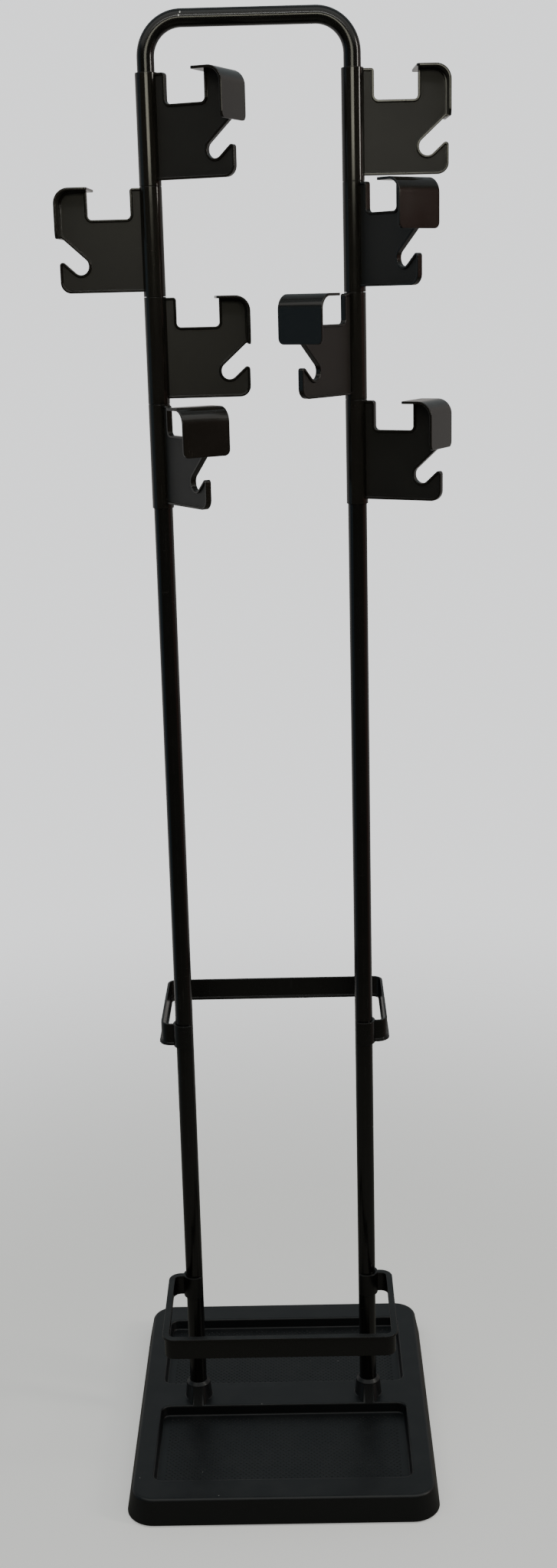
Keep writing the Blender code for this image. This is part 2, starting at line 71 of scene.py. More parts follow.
WORN_BREAK_DETAIL = 5.0
WORN_BREAK_RANGE = (0.35, 0.65)
GRAIN_DETAIL = 3.0
DUST_COLOUR = (0.30, 0.29, 0.27)
SCUFF_ROUGHER = 0.15
DUST_ROUGHER = 0.30


def feed(tree, socket, value):
    """Links a socket to the one that gives its value, or sets it to a plain value."""
    if isinstance(value, bpy.types.NodeSocket):
        tree.links.new(value, socket)
    else:
        socket.default_value = value


def shader_node(tree, kind, inputs=None, **settings):
    """Adds a node with its settings and its inputs, each a plain value or a socket."""
    node = tree.nodes.new(kind)
    for name, value in settings.items():
        setattr(node, name, value)
    for name, value in (inputs or {}).items():
        feed(tree, node.inputs[name], value)
    return node


def number(tree, operation, first, second):
    """The result of a sum on two numbers, each a plain value or a socket."""
    return shader_node(tree, "ShaderNodeMath", {0: first, 1: second}, operation=operation).outputs["Value"]


def spread(tree, value, low, high, start=0.0, end=1.0):
    """The value eased from start to end as it goes from low to high."""
    inputs = {"Value": value, "From Min": low, "From Max": high, "To Min": start, "To Max": end}
    node = shader_node(tree, "ShaderNodeMapRange", inputs, interpolation_type="SMOOTHSTEP")
    return node.outputs["Result"]


def noise(tree, place, scale, detail, roughness=NOISE_ROUGHNESS):
    """Cloudy noise at a place, from 0 to 1."""
    inputs = {"Vector": place, "Scale": scale, "Detail": detail, "Roughness": roughness}
    return shader_node(tree, "ShaderNodeTexNoise", inputs).outputs["Fac"]


def mixed_colour(tree, share, first, second):
    """The colour that goes from the first to the second as the share goes from 0 to 1."""
    mix = shader_node(tree, "ShaderNodeMix", data_type="RGBA")
    sockets = {socket.identifier: socket for socket in mix.inputs}
    feed(tree, sockets["Factor_Float"], share)
    for name, colour in (("A_Color", first), ("B_Color", second)):
        feed(tree, sockets[name], (*colour, OPAQUE) if isinstance(colour, tuple) else colour)
    return {socket.identifier: socket for socket in mix.outputs}["Result_Color"]


def shader_group(name, inputs, output):
    """A node group with named number inputs and one number output, and its sockets."""
    tree = bpy.data.node_groups.new(name, "ShaderNodeTree")
    for label in inputs:
        tree.interface.new_socket(label, in_out="INPUT", socket_type="NodeSocketFloat")
    tree.interface.new_socket(output, in_out="OUTPUT", socket_type="NodeSocketFloat")
    given = tree.nodes.new("NodeGroupInput").outputs
    return tree, given, tree.nodes.new("NodeGroupOutput").inputs[output]


def own_place(tree):
    """A piece's own coordinates, shifted by its own amount so that like pieces don't look the same."""
    own_number = tree.nodes.new("ShaderNodeObjectInfo").outputs["Random"]
    place = tree.nodes.new("ShaderNodeTexCoord").outputs["Object"]
    inputs = {0: own_number, 1: PIECE_SHIFT, 2: place}
    return shader_node(tree, "ShaderNodeVectorMath", inputs, operation="MULTIPLY_ADD").outputs["Vector"]


def cloudy_tone():
    """Soft patches of lighter and darker tone."""
    tree, given, result = shader_group("cloudy_tone", ("Scale", "Contrast"), "Tone")
    clouds = noise(tree, own_place(tree), given["Scale"], TONE_DETAIL, TONE_ROUGHNESS)
    low = number(tree, "SUBTRACT", TONE_MIDDLE, given["Contrast"])
    high = number(tree, "ADD", TONE_MIDDLE, given["Contrast"])
    tone = shader_node(tree, "ShaderNodeMapRange", {"Value": clouds, "From Min": low, "From Max": high})
    tree.links.new(tone.outputs["Result"], result)
    return tree


def handling_scuffs():
    """Thin scratches along and across a piece, gathered in patches where it is handled."""
    tree, given, result = shader_group("handling_scuffs", ("Scale", "Cover"), "Scuff")
    place = own_place(tree)
    scratches = 0.0
    for stretch, turn in SCRATCHES:
        inputs = {"Vector": place, "Scale": stretch, "Rotation": (turn, turn, turn)}
        turned_place = shader_node(tree, "ShaderNodeMapping", inputs).outputs["Vector"]
        lines = noise(tree, turned_place, given["Scale"], SCRATCH_DETAIL)
        scratches = number(tree, "MAXIMUM", scratches, spread(tree, lines, *SCRATCH_RANGE))
    patches = noise(tree, place, SCRATCH_PATCH_SCALE, SCRATCH_PATCH_DETAIL)
    least = number(tree, "SUBTRACT", SCRATCH_PATCH_START, given["Cover"])
    most = number(tree, "ADD", least, SCRATCH_PATCH_BLEND)
    tree.links.new(number(tree, "MULTIPLY", scratches, spread(tree, patches, least, most)), result)
    return tree


def settled_dust():
    """A thin film and single specks of dust on the faces that look up."""
    tree, given, result = shader_group("settled_dust", ("Film", "Specks"), "Dust")
    place = own_place(tree)
    normal = tree.nodes.new("ShaderNodeNewGeometry").outputs["Normal"]
    facing = shader_node(tree, "ShaderNodeSeparateXYZ", {"Vector": normal})
    upward = spread(tree, facing.outputs["Z"], *UPWARD_RANGE)
    drift = noise(tree, place, FILM_SCALE, FILM_DETAIL)
    film = number(tree, "MULTIPLY", spread(tree, drift, *FILM_RANGE), given["Film"])
    cells = shader_node(tree, "ShaderNodeTexVoronoi", {"Vector": place, "Scale": SPECK_SCALE})
    colour = shader_node(tree, "ShaderNodeSeparateColor", {"Color": cells.outputs["Color"]})
    chosen = number(tree, "LESS_THAN", colour.outputs["Red"], given["Specks"])
    near = spread(tree, cells.outputs["Distance"], *SPECK_RANGE, start=1.0, end=0.0)
    dust = number(tree, "MAXIMUM", film, number(tree, "MULTIPLY", chosen, near))
    tree.links.new(number(tree, "MULTIPLY", dust, upward), result)
    return tree


def worn_edges():
    """The rounded outer edges, where handling polishes the surface and thins it."""
    tree, given, result = shader_group("worn_edges", ("Wear",), "Edge")
    pointed = tree.nodes.new("ShaderNodeNewGeometry").outputs["Pointiness"]
    edge = spread(tree, pointed, *WORN_RANGE)
    breaks = noise(tree, own_place(tree), WORN_BREAK_SCALE, WORN_BREAK_DETAIL)
    broken = number(tree, "MULTIPLY", edge, spread(tree, breaks, *WORN_BREAK_RANGE))
    tree.links.new(number(tree, "MULTIPLY", broken, given["Wear"]), result)
    return tree


def fine_grain():
    """The fine relief of a tool-textured moulding or a sprayed coat."""
    tree, given, result = shader_group("fine_grain", ("Scale",), "Height")
    place = own_place(tree)
    specks = noise(tree, place, given["Scale"], GRAIN_DETAIL)
    inputs = {"Vector": place, "Scale": given["Scale"]}
    cells = shader_node(tree, "ShaderNodeTexVoronoi", inputs, feature="SMOOTH_F1")
    tree.links.new(number(tree, "ADD", specks, cells.outputs["Distance"]), result)
    return tree


SURFACE_EFFECTS = {
    "tone": cloudy_tone(),
    "scuff": handling_scuffs(),
    "dust": settled_dust(),
    "edge": worn_edges(),
    "grain": fine_grain(),
}


def effect(tree, name, **values):
    """The result of one of the shared surface effects, placed in a material with its own values."""
    inputs = {label.capitalize(): value for label, value in values.items()}
    return shader_node(tree, "ShaderNodeGroup", inputs, node_tree=SURFACE_EFFECTS[name]).outputs[0]


def rack_finish(name, colours, gloss, tone, grain, scuff, dust, wear, metallic=0.0, matt=0.0):
    """A finish of two tones with grain, scuffs, dust and worn edges.

    colours are the deep tone, the pale tone, and the tones of a scuff and of a worn edge. gloss is the least
    and the most roughness, tone the scale and contrast of its patches, grain its scale and height, scuff its
    scale and cover, and dust its film and its specks. matt is how much rougher the faces are that carry the
    matt mark.
    """
    deep, pale, scuffed, bare = colours
    material = bpy.data.materials.new(name)
    material.use_nodes = True
    tree = material.node_tree
    shader = tree.nodes["Principled BSDF"]
    patches = effect(tree, "tone", scale=tone[0], contrast=tone[1])
    scratches = effect(tree, "scuff", scale=scuff[0], cover=scuff[1])
    film = effect(tree, "dust", film=dust[0], specks=dust[1])
    edges = effect(tree, "edge", wear=wear)
    colour = mixed_colour(tree, patches, deep, pale)
    colour = mixed_colour(tree, scratches, colour, scuffed)
    colour = mixed_colour(tree, edges, colour, bare)
    colour = mixed_colour(tree, film, colour, DUST_COLOUR)
    tree.links.new(colour, shader.inputs["Base Color"])
    roughness = spread(tree, patches, 0.0, 1.0, gloss[0], gloss[1])
    for mask, rougher in ((scratches, SCUFF_ROUGHER), (film, DUST_ROUGHER)):
        roughness = number(tree, "ADD", roughness, number(tree, "MULTIPLY", mask, rougher))
    if matt:
        marked = shader_node(tree, "ShaderNodeAttribute", attribute_name="matt")
        rougher = number(tree, "MULTIPLY", marked.outputs["Fac"], matt)
        roughness = number(tree, "ADD", roughness, rougher)
    tree.links.new(roughness, shader.inputs["Roughness"])
    relief = {"Strength": 1.0, "Distance": grain[1], "Height": effect(tree, "grain", scale=grain[0])}
    bump = shader_node(tree, "ShaderNodeBump", relief)
    tree.links.new(bump.outputs["Normal"], shader.inputs["Normal"])
    shader.inputs["Metallic"].default_value = metallic
    return material


ballast_steel = rack_finish(
    "ballast_steel",
    colours=((0.06, 0.065, 0.07), (0.16, 0.155, 0.15), (0.30, 0.29, 0.28), (0.22, 0.12, 0.07)),
    gloss=(0.42, 0.68),
    tone=(14.0, 0.22),
    grain=(500.0, 0.00004),
    scuff=(220.0, 0.40),
    dust=(0.10, 0.01),
    wear=0.6,
    metallic=0.85,
)
nodes["ballast_plate"].material_slots[0].material = ballast_steel


# Feet and plate screws
# Four pressed rubber feet stand under the corners, each with a shallow tread ring and a screw recess.
# A zinc-plated pan-head screw goes up through each foot and the plate into a post of the shell.

FOOT_TREAD_DEPTH = 0.0006
FOOT_TREAD_WIDTH = 0.002
FOOT_EDGE = 0.0008
SCREW_HEAD_EDGE = 0.0011
SCREW_HEAD_HEIGHT = 0.0026
SHANK_RADIUS = 0.0022
SEAT_GAP = 0.0003
CROSS_WIDTH = 0.0016
CROSS_LENGTH = 0.0056
CROSS_DEPTH = 0.0014
FINE_SIDES = 48
EDGE_STEPS = 6
SHARP_ANGLE = math.radians(35)
CORNERS = ("front_left", "front_right", "rear_left", "rear_right")


def rounded_outline(corners, steps=EDGE_STEPS):
    """Points through the corners of a closed outline, each (x, y, radius), with arcs at the round ones."""
    points = []
    for index, (x, y, radius) in enumerate(corners):
        corner = Vector((x, y))
        if radius == 0:
            points.append(corner)
            continue
        before = (Vector(corners[index - 1][:2]) - corner).normalized()
        after = (Vector(corners[(index + 1) % len(corners)][:2]) - corner).normalized()
        half = before.angle(after) / 2
        centre = corner + (before + after).normalized() * radius / math.sin(half)
        start = corner + before * radius / math.tan(half) - centre
        end = corner + after * radius / math.tan(half) - centre
        first = math.atan2(start.y, start.x)
        turn = math.remainder(math.atan2(end.y, end.x) - first, math.tau)
        for step in range(steps + 1):
            angle = first + turn * step / steps
            points.append(centre + radius * Vector((math.cos(angle), math.sin(angle))))
    return points


def circle(radius, z, sides=FINE_SIDES, centre=(0, 0)):
    angles = [math.tau * side / sides for side in range(sides)]
    return [Vector((centre[0] + radius * math.cos(a), centre[1] + radius * math.sin(a), z)) for a in angles]


def add_walls(shape, pairs):
    """Adds the faces between pairs of rows of equally many corners."""
    for low, high in pairs:
        for index in range(len(low)):
            beside = (index + 1) % len(low)
            shape.faces.new((low[index], low[beside], high[beside], high[index]))


def closed_mesh(shape):
    """The mesh of a closed shape, with all its faces looking out."""
    bmesh.ops.recalc_face_normals(shape, faces=shape.faces)
    mesh = bpy.data.meshes.new("moulding")
    shape.to_mesh(mesh)
    shape.free()
    return mesh


def loft(loops, ring=False):
    """A closed mesh over loops of equally many points, capped at both ends or closed into a ring."""
    shape = bmesh.new()
    rows = [[shape.verts.new(point) for point in loop] for loop in loops]
    pairs = list(zip(rows, rows[1:]))
    if ring:
        pairs.append((rows[-1], rows[0]))
    else:
        shape.faces.new(rows[0])
        shape.faces.new(rows[-1])
    add_walls(shape, pairs)
    return closed_mesh(shape)


def turned(profile, sides=FINE_SIDES, ring=False, centre=(0, 0)):
    """A round shape from (radius, z) points, along its axis or, as a ring, round its section."""
    return loft([circle(radius, z, sides, centre) for radius, z in profile], ring)


def combine(mesh, operation, tools):
    """The mesh with the tool meshes joined to it or cut from it."""
    body = bpy.data.objects.new("body", mesh)
    helpers = [body]
    bpy.context.scene.collection.objects.link(body)
    for tool in tools:
        helper = bpy.data.objects.new("tool", tool)
        bpy.context.scene.collection.objects.link(helper)
        helpers.append(helper)
        cut = body.modifiers.new(operation.lower(), "BOOLEAN")
        cut.operation = operation
        cut.solver = "EXACT"
        cut.object = helper
    graph = bpy.context.evaluated_depsgraph_get()
    result = bpy.data.meshes.new_from_object(body.evaluated_get(graph))
    for helper in helpers:
        bpy.data.objects.remove(helper)
    return result


def add_piece(name, mesh, material, place=(0, 0, 0), turn=(0, 0, 0)):
    """A smooth-shaded piece whose flat faces stay flat up to their rounded edges."""
    piece = bpy.data.objects.new(name, mesh)
    piece.location = place
    piece.rotation_euler = turn
    bpy.context.scene.collection.objects.link(piece)
    mesh.materials.clear()
    mesh.materials.append(material)
    mesh.shade_smooth()
    mesh.set_sharp_from_angle(angle=SHARP_ANGLE)
    flats = piece.modifiers.new("flat faces", "WEIGHTED_NORMAL")
    flats.keep_sharp = True
    return piece


foot_rubber = rack_finish(
    "foot_rubber",
    colours=((0.010, 0.010, 0.010), (0.024, 0.023, 0.022), (0.05, 0.05, 0.05), (0.06, 0.06, 0.06)),
    gloss=(0.72, 0.92),
    tone=(40.0, 0.25),
    grain=(1400.0, 0.00003),
    scuff=(400.0, 0.35),
    dust=(0.10, 0.01),
    wear=0.4,
)
zinc_steel = rack_finish(
    "zinc_steel",
    colours=((0.42, 0.42, 0.40), (0.62, 0.61, 0.57), (0.75, 0.75, 0.72), (0.80, 0.79, 0.76)),
    gloss=(0.26, 0.44),
    tone=(120.0, 0.2),
    grain=(1800.0, 0.00001),
    scuff=(700.0, 0.40),
    dust=(0.05, 0.01),
    wear=0.3,
    metallic=1.0,
)


def foot_mesh(radius, height, hole, recess_radius, recess_top):
    tread = radius - FOOT_TREAD_WIDTH
    section = rounded_outline(
        [
            (recess_radius, 0, FOOT_TREAD_DEPTH / 2),
            (tread - FOOT_TREAD_WIDTH, 0, 0),
            (tread - FOOT_TREAD_WIDTH / 2, FOOT_TREAD_DEPTH, FOOT_TREAD_DEPTH / 2),
            (tread, 0, 0),
            (radius - FOOT_EDGE, 0, FOOT_EDGE / 2),
            (radius, height, FOOT_EDGE),
            (hole, height, 0),
            (hole, recess_top, 0),
            (recess_radius, recess_top, 0),
        ]
    )
    return turned(section, ring=True)


def screw_mesh(head, bottom, head_top, shank, top):
    """A chamfered head with a cross recess, and its shank."""
    profile = [
        (head - SCREW_HEAD_EDGE, bottom),
        (head, bottom + SCREW_HEAD_EDGE),
        (head, head_top),
        (shank, head_top),
        (shank, top),
    ]
    wide = CROSS_LENGTH / 2
    thin = CROSS_WIDTH / 2
    cross = [(thin, thin), (wide, thin), (wide, -thin), (thin, -thin), (thin, -wide), (-thin, -wide)]
    cross += [(-x, -y) for x, y in cross]
    ends = (bottom - CROSS_DEPTH, bottom + CROSS_DEPTH)
    tool = loft([[Vector((x, y, z)) for x, y in cross] for z in ends])
    return combine(turned(profile), "DIFFERENCE", [tool])


foot_low, foot_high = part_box("foot_front_left")
screw_low, screw_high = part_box("plate_screw_front_left")
foot_radius = (foot_high.x - foot_low.x) / 2
head_radius = (screw_high.x - screw_low.x) / 2
head_top = screw_low.z + SCREW_HEAD_HEIGHT
foot_shape = foot_mesh(
    foot_radius, foot_high.z, SHANK_RADIUS + SEAT_GAP, head_radius + SEAT_GAP, head_top + SEAT_GAP
)
screw_shape = screw_mesh(head_radius, screw_low.z, head_top, SHANK_RADIUS, screw_high.z)
for corner in CORNERS:
    low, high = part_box(f"foot_{corner}")
    spot = ((low.x + high.x) / 2, (low.y + high.y) / 2, 0)
    foot = add_piece(f"rubber_foot_{corner}", foot_shape, foot_rubber, spot)
    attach(foot, "stand")
    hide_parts(f"foot_{corner}")
    screw = add_piece(f"foot_screw_{corner}", screw_shape, zinc_steel, spot)
    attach(screw, "stand")
    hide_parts(f"plate_screw_{corner}")


# Pole plugs and bolts
# A threaded steel plug is pressed into the foot of each pole, and a hexagon bolt pulls it down on the plate.
# Both are zinc plated, and only the bolt heads show, under the plate.

for side in ("left", "right"):
    nodes[f"{side}_pole_plug"].material_slots[0].material = zinc_steel
    nodes[f"{side}_pole_bolt"].material_slots[0].material = zinc_steel


# Base shell
# One injection moulding in blue-black plastic covers the plate: a flared skirt, two drip trays, two sockets.
# The tray floors carry rows of small pips, and a rounded nose runs from each socket down into each tray.

BASE_CORNER = 0.035
BASE_FLARE = 0.0055
BASE_EDGE = 0.005
SKIRT_ROUND = 0.0008
BASE_WALL = 0.003
BRIDGE_WIDTH = 0.047
TRAY_SIDE_MARGIN = 0.0245
TRAY_END_MARGIN = 0.0365
TRAY_DEPTH = 0.014
TRAY_CORNER = 0.014
TRAY_EDGE = 0.003
TRAY_DRAFT = 0.001
TRAY_FILLET = 0.0022
BOSS_WALL = 0.0064
BOSS_HEIGHT = 0.025
BOSS_TAPER = 0.0021
BOSS_CHAMFER = 0.0040
BOSS_EDGE = 0.0010
BOSS_RIM = 0.0007
BOSS_FILLET = 0.0015
NOSE_WIDTH = 0.019
NOSE_TOP_WIDTH = 0.014
NOSE_RISE = 0.020
NOSE_PROUD = 0.0002
NOSE_ROUND = 0.0065
CUT_PAST = 0.002
SCREW_POST_RADIUS = 0.006
PIP_PITCH = 0.0072
PIP_ROW = 0.0036
PIP_RADIUS = 0.0015
PIP_TOP_RADIUS = 0.0012
PIP_HEIGHT = 0.00045
PIP_MARGIN = 0.004
PIP_SIDES = 12
PIP_TURN = 0.25
CORNER_STEPS = 12

base_low, base_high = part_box("base_shell")
pole_low, pole_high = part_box("right_pole")
pole_x = (pole_low.x + pole_high.x) / 2
pole_radius = (pole_high.x - pole_low.x) / 2
deck = base_high.z - BOSS_HEIGHT
tray_floor = deck - TRAY_DEPTH
tray_half = base_high.x - BASE_FLARE - TRAY_SIDE_MARGIN
tray_near = BRIDGE_WIDTH / 2
tray_far = base_high.y - BASE_FLARE - TRAY_END_MARGIN
socket_bore = pole_radius + SEAT_GAP
boss_radius = socket_bore + BOSS_WALL


def level(outline, z):
    return [Vector((point.x, point.y, z)) for point in outline]


def rounding(radius, steps=EDGE_STEPS):
    """The steps (inset, rise) of a quarter round, from a level face up to an upright one."""
    turns = [math.pi / 2 * step / steps for step in range(steps + 1)]
    return [(radius * (1 - math.sin(turn)), radius * (1 - math.cos(turn))) for turn in turns]


def rounded_rectangle(low, high, radius):
    corners = [(high[0], low[1]), (high[0], high[1]), (low[0], high[1]), (low[0], low[1])]
    return rounded_outline([(x, y, radius) for x, y in corners], CORNER_STEPS)


def base_outline(inset):
    half_length = base_high.x - inset
    half_depth = base_high.y - inset
    return rounded_rectangle((-half_length, -half_depth), (half_length, half_depth), BASE_CORNER - inset)


def tray_outline(side, inset):
    """The outline of the front tray, side -1, or the rear one, side 1, drawn in by the inset."""
    ends = sorted((side * (tray_near + inset), side * (tray_far - inset)))
    half_length = tray_half - inset
    return rounded_rectangle((-half_length, ends[0]), (half_length, ends[1]), TRAY_CORNER - inset)


def base_block():
    """The outside of the shell without its trays and sockets."""
    loops = [level(base_outline(inset), base_low.z + rise) for inset, rise in rounding(SKIRT_ROUND)]
    for drop, inset in rounding(BASE_EDGE):
        loops.append(level(base_outline(BASE_FLARE + inset), deck - drop))
    return loft(loops)


def pip_cell(shape, spots, column, row, side):
    """One cell of the tray floor with a pip in its middle. Rows of cells lie half a cell apart."""
    border = []
    for half, up in ((0, 0), (1, 0), (2, 0), (2, 1), (1, 1), (0, 1)):
        key = (column + half, row + up)
        if key not in spots:
            x = key[0] * PIP_PITCH / 2
            y = side * (tray_near + tray_far) / 2 + key[1] * PIP_ROW
            spots[key] = shape.verts.new((x, y, tray_floor))
        border.append(spots[key])
    middle = sum((corner.co for corner in border), Vector()) / len(border)
    first_angle = math.atan2(border[0].co.y - middle.y, border[0].co.x - middle.x)
    angles = [first_angle + math.tau * (index - PIP_TURN) / PIP_SIDES for index in range(PIP_SIDES)]
    rings = []
    for radius, z in ((PIP_RADIUS, tray_floor), (PIP_TOP_RADIUS, tray_floor + PIP_HEIGHT)):
        points = [(middle.x + radius * math.cos(a), middle.y + radius * math.sin(a), z) for a in angles]
        rings.append([shape.verts.new(point) for point in points])
    foot_ring, top_ring = rings
    for index, corner_spot in enumerate(border):
        beside = border[(index + 1) % len(border)]
        first, second, third = (foot_ring[(2 * index + step) % PIP_SIDES] for step in (0, 1, 2))
        shape.faces.new((corner_spot, second, first))
        shape.faces.new((corner_spot, beside, third, second))
    add_walls(shape, [rings])
    shape.faces.new(top_ring)


def tray_cut(side):
    """The hollow of a tray with a rounded edge, a fillet round its floor and the pips left standing."""
    wall = TRAY_EDGE + TRAY_DRAFT
    loops = []
    for inset, rise in rounding(TRAY_FILLET):
        loops.append(level(tray_outline(side, wall + inset), tray_floor + rise))
    for drop, inset in rounding(TRAY_EDGE):
        loops.append(level(tray_outline(side, TRAY_EDGE - inset), deck - drop))
    loops.append(level(tray_outline(side, 0), deck + CUT_PAST))
    shape = bmesh.new()
    rows = [[shape.verts.new(point) for point in loop] for loop in loops]
    add_walls(shape, zip(rows, rows[1:]))
    shape.faces.new(rows[-1])
    spots = {}
    half_length = tray_half - wall - TRAY_FILLET - PIP_MARGIN
    half_depth = (tray_far - tray_near) / 2 - wall - TRAY_FILLET - PIP_MARGIN
    columns = int(half_length / PIP_PITCH)
    row_count = int(half_depth / PIP_ROW)
    for row in range(-row_count, row_count):
        shift = row % 2
        for column in range(-columns, columns - shift):
            pip_cell(shape, spots, 2 * column + shift, row, side)
    rim = [edge for edge in shape.edges if len(edge.link_faces) == 1]
    bmesh.ops.triangle_fill(shape, edges=rim, use_beauty=True, use_dissolve=False)
    return closed_mesh(shape)


def tray_pan(side):
    """The tray's own floor and walls, which the hollow under the shell leaves standing."""
    floor = level(tray_outline(side, TRAY_EDGE + TRAY_DRAFT - BASE_WALL), tray_floor - BASE_WALL)
    return loft([floor, level(tray_outline(side, TRAY_EDGE - BASE_WALL), deck)])


def pole_boss(x):
    """The tapered socket on the bridge between the trays, with a fillet at its foot and a chamfered rim."""
    profile = [(boss_radius + BOSS_FILLET, deck - BASE_WALL / 2)]
    profile += [(boss_radius + inset, deck + rise) for inset, rise in rounding(BOSS_FILLET)]
    crown = rounded_outline(
        [
            (boss_radius, deck + BOSS_FILLET, 0),
            (boss_radius - BOSS_TAPER, base_high.z - BOSS_CHAMFER, BOSS_EDGE),
            (socket_bore + BOSS_RIM, base_high.z, BOSS_RIM / 2),
            (pole_radius, base_high.z, 0),
        ]
    )
    profile += [(point.x, point.y) for point in crown[1:-1]]
    return turned(profile, centre=(x, 0))


def boss_nose(x, side):
    """The round-fronted nose that runs from the socket to the edge of a tray and down the tray's wall."""
    foot = boss_radius - SEAT_GAP
    crown = foot - BOSS_TAPER
    wall = tray_near + TRAY_EDGE + NOSE_PROUD
    levels = [
        (foot, NOSE_WIDTH / 2, wall + TRAY_DRAFT, tray_floor - BASE_WALL / 2),
        (foot, NOSE_WIDTH / 2, wall, deck - TRAY_EDGE),
        (crown, NOSE_TOP_WIDTH / 2, crown, deck + NOSE_RISE),
    ]
    loops = []
    for root, half, reach, z in levels:
        tangent = math.atan2(half, reach) + math.acos(root / math.hypot(half, reach))
        side_x = root * math.sin(tangent)
        side_y = root * math.cos(tangent)
        corners = [
            (-side_x, side_y, 0),
            (side_x, side_y, 0),
            (half, reach, NOSE_ROUND),
            (-half, reach, NOSE_ROUND),
        ]
        loops.append([Vector((x + point.x, side * point.y, z)) for point in rounded_outline(corners)])
    return loft(loops)


def cylinder(radius, bottom, top, centre):
    return turned([(radius, bottom), (radius, top)], centre=centre)


def base_shell_mesh():
    """The block with its trays, sockets and noses, hollow below and bored for the poles and screws."""
    bottom = pole_low.z - CUT_PAST
    roof = level(base_outline(BASE_WALL + BASE_FLARE), deck - BASE_WALL)
    space = loft([level(base_outline(BASE_WALL), -CUT_PAST), roof])
    kept = [tray_pan(-1), tray_pan(1)]
    bosses = []
    cuts = []
    for x in (-pole_x, pole_x):
        kept.append(cylinder(socket_bore + BASE_WALL, pole_low.z, deck, (x, 0)))
        bosses += [pole_boss(x), boss_nose(x, -1), boss_nose(x, 1)]
        cuts.append(cylinder(socket_bore, bottom, base_high.z + CUT_PAST, (x, 0)))
    for corner in CORNERS:
        low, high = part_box(f"foot_{corner}")
        spot = ((low.x + high.x) / 2, (low.y + high.y) / 2)
        kept.append(cylinder(SCREW_POST_RADIUS, pole_low.z, deck, spot))
        cuts.append(cylinder(SHANK_RADIUS + SEAT_GAP, bottom, screw_high.z + SEAT_GAP, spot))
    hollow = combine(space, "DIFFERENCE", kept)
    shell = combine(base_block(), "DIFFERENCE", [tray_cut(-1), tray_cut(1)])
    shell = combine(shell, "UNION", bosses)
    return combine(shell, "DIFFERENCE", [hollow] + cuts)


base_plastic = rack_finish(
    "base_plastic",
    colours=(
        (0.0062, 0.0074, 0.0082),
        (0.0078, 0.0092, 0.0101),
        (0.020, 0.021, 0.022),
        (0.018, 0.020, 0.021),
    ),
    gloss=(0.36, 0.44),
    tone=(14.0, 0.35),
    grain=(1100.0, 0.000012),
    scuff=(260.0, 0.25),
    dust=(0.02, 0.003),
    wear=0.35,
)
base_shell = add_piece("base_moulding", base_shell_mesh(), base_plastic)
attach(base_shell, "stand")
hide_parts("base_shell")


# Poles
# Two straight lengths of welded steel tube, stoved in black enamel, stand in the sockets of the base.
# The enamel is satin, with a faint ripple and a few light scuffs.

POLE_WALL = 0.001
POLE_RIM = 0.0004
RIM_STEPS = 3

black_enamel = rack_finish(
    "black_enamel",
    colours=(
        (0.0036, 0.0036, 0.0032),
        (0.0056, 0.0055, 0.0050),
        (0.020, 0.019, 0.018),
        (0.040, 0.039, 0.037),
    ),
    gloss=(0.14, 0.22),
    tone=(22.0, 0.3),
    grain=(380.0, 0.0000025),
    scuff=(420.0, 0.25),
    dust=(0.03, 0.003),
    wear=0.2,
)


def tube_mesh(radius, wall, bottom, top):
    corners = [(radius, bottom), (radius, top), (radius - wall, top), (radius - wall, bottom)]
    section = rounded_outline([(distance, z, POLE_RIM) for distance, z in corners], RIM_STEPS)
    return turned(section, ring=True)


pole_shape = tube_mesh(pole_radius, POLE_WALL, pole_low.z, pole_high.z)
for side, x in (("left", -pole_x), ("right", pole_x)):
    pole = add_piece(f"{side}_pole_tube", pole_shape, black_enamel, (x, 0, 0))
    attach(pole, "stand")
    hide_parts(f"{side}_pole")


# Top bow
# One length of steel tube, bent twice on a mandrel, plugs into the tops of both poles.
# Its legs carry the hooks. It has the poles' enamel, chipped to the metal in two spots past the left bend.

BOW_WALL = 0.001
BOW_BEND = 0.040
BEND_STEPS = 24
CHIP_COLOUR = (0.55, 0.55, 0.53)
CHIP_EDGE_SCALE = 1500.0
CHIP_EDGE_DETAIL = 2.0
CHIP_RAGGED = 0.8
CHIPS = ((-0.0733, math.radians(30), 0.0012, 0.0024), (-0.0748, math.radians(9), 0.0014, 0.0020))

bow_low, bow_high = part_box("top_bow")
bow_radius = (bow_high.y - bow_low.y) / 2
bow_level = bow_high.z - bow_radius


def side_steps(path, closed=False):
    """The sideways step at each point of a path that keeps a line one unit to its left."""
    steps = []
    last = len(path) - 1
    for index, point in enumerate(path):
        before = point - path[index - 1] if index > 0 or closed else path[1] - point
        after = path[(index + 1) % len(path)] - point if index < last or closed else before
        left_before = Vector((-before.y, before.x)).normalized()
        left_after = Vector((-after.y, after.x)).normalized()
        steps.append((left_before + left_after) / (1 + left_before.dot(left_after)))
    return steps


def bow_mesh():
    corners = [
        (-pole_x, bow_low.z, 0),
        (-pole_x, bow_level, BOW_BEND),
        (pole_x, bow_level, BOW_BEND),
        (pole_x, bow_low.z, 0),
    ]
    path = rounded_outline(corners, BEND_STEPS)
    skins = []
    for radius in (bow_radius, bow_radius - BOW_WALL):
        skin = []
        for point, step in zip(path, side_steps(path)):
            section = circle(radius, 0)
            skin.append([Vector((point.x + step.x * s.x, s.y, point.y + step.y * s.x)) for s in section])
        skins.append(skin)
    return loft(skins[0] + skins[1][::-1], ring=True)


def vector_length(tree, vector):
    return shader_node(tree, "ShaderNodeVectorMath", {0: vector}, operation="LENGTH").outputs["Value"]


